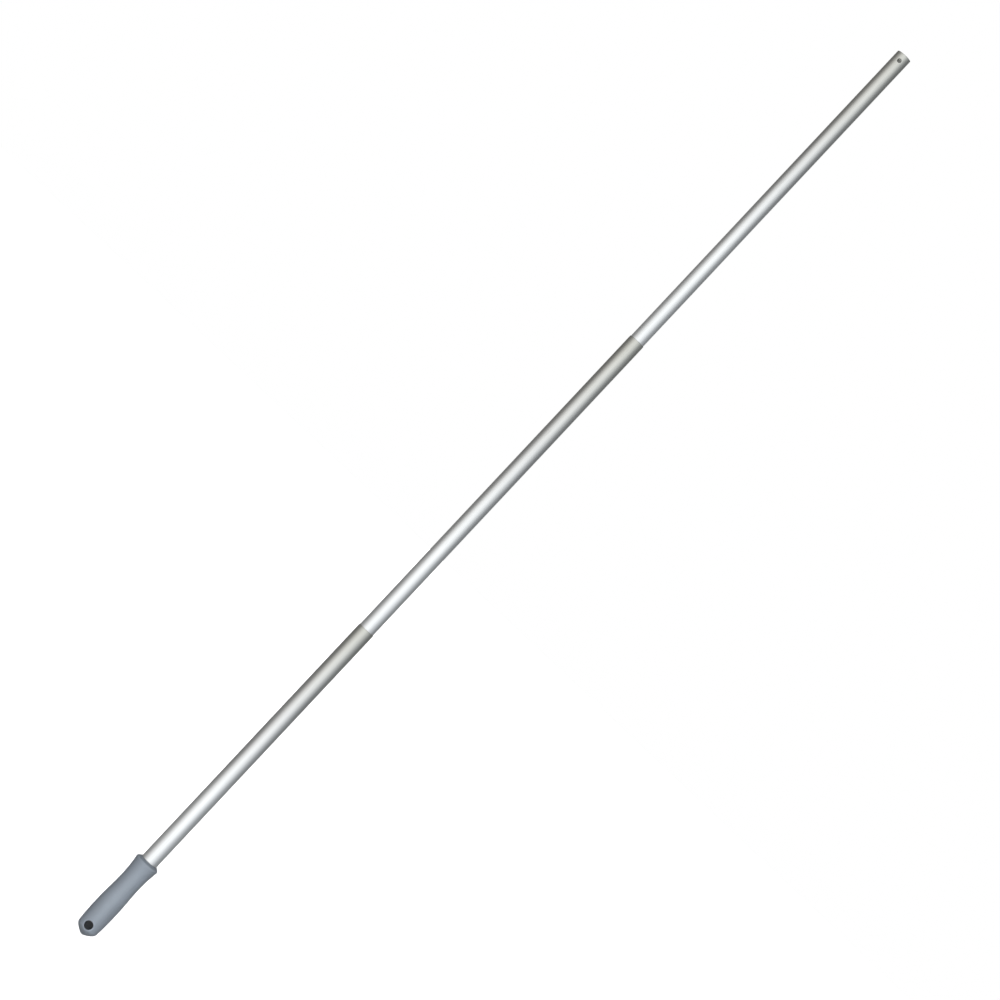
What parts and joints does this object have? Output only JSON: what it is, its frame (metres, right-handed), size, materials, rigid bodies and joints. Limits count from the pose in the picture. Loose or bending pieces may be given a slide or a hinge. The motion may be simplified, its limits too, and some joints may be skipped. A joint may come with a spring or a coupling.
{
  "type": "stop slow paddle staff",
  "caption": "Telescopic aluminium staff for a stop/slow paddle, with twist-locked sliding sections, a moulded grip and an open top socket.",
  "frame": {"origin": "middle of the grip's butt flat, on the staff's axis, with the staff upright and fully set up", "axes": "+Z along the staff from the grip to the open top end; -Y is the front, where the button hole and the hanging hole's lower mouth are; +X is to the right seen from the front"},
  "size_m": [0.0378, 0.0378, 1.655],
  "materials": {
    "tube": "drawn and satin anodised",
    "grip": "moulded, blue-grey, fine grain",
    "plug": "moulded nylon",
    "cam": "moulded acetal",
    "steel": "zinc plated",
    "buffer": "matt"
  },
  "bodies": {
    "handle_section": {"grip": "grip", "outer_tube": "tube", "end_buffer": "buffer"},
    "lower_guide": {"lower_guide_ring": "cam"},
    "middle_section": {"middle_tube": "tube", "lower_lock_plug": "plug", "lower_cam_washer": "steel", "lower_cam_screw": "steel", "lower_plug_pin": "steel"},
    "lower_lock_cam": {"lower_cam": "cam"},
    "upper_guide": {"upper_guide_ring": "cam"},
    "top_section": {"top_tube": "tube", "upper_lock_plug": "plug", "upper_cam_washer": "steel", "upper_cam_screw": "steel", "upper_plug_pin": "steel"},
    "upper_lock_cam": {"upper_cam": "cam"}
  },
  "joints": [
    {"name": "lower_slide", "type": "slide", "parent": "handle_section", "child": "lower_guide", "axis": [0, 0, -1], "range_m": [0, 0.443]},
    {"name": "lower_twist", "type": "hinge", "parent": "lower_guide", "child": "middle_section", "pos_m": [0, 0, 0.5159], "axis": [0, 0, -1], "range_deg": [0, 60]},
    {"name": "lower_cam_turn", "type": "hinge", "parent": "middle_section", "child": "lower_lock_cam", "pos_m": [0.001, 0, 0.5023], "axis": [0, 0, -1], "range_deg": [-60, 0]},
    {"name": "upper_slide", "type": "slide", "parent": "middle_section", "child": "upper_guide", "axis": [0, 0, -1], "range_m": [0, 0.4865]},
    {"name": "upper_twist", "type": "hinge", "parent": "upper_guide", "child": "top_section", "pos_m": [0, 0, 1.0599], "axis": [0, 0, -1], "range_deg": [0, 60]},
    {"name": "upper_cam_turn", "type": "hinge", "parent": "top_section", "child": "upper_lock_cam", "pos_m": [0.001, 0, 1.0463], "axis": [0, 0, -1], "range_deg": [-60, 0]}
  ],
  "couplings": [
    {"joint": "lower_cam_turn", "follows": "lower_twist", "ratio": -1},
    {"joint": "upper_cam_turn", "follows": "upper_twist", "ratio": -1}
  ]
}
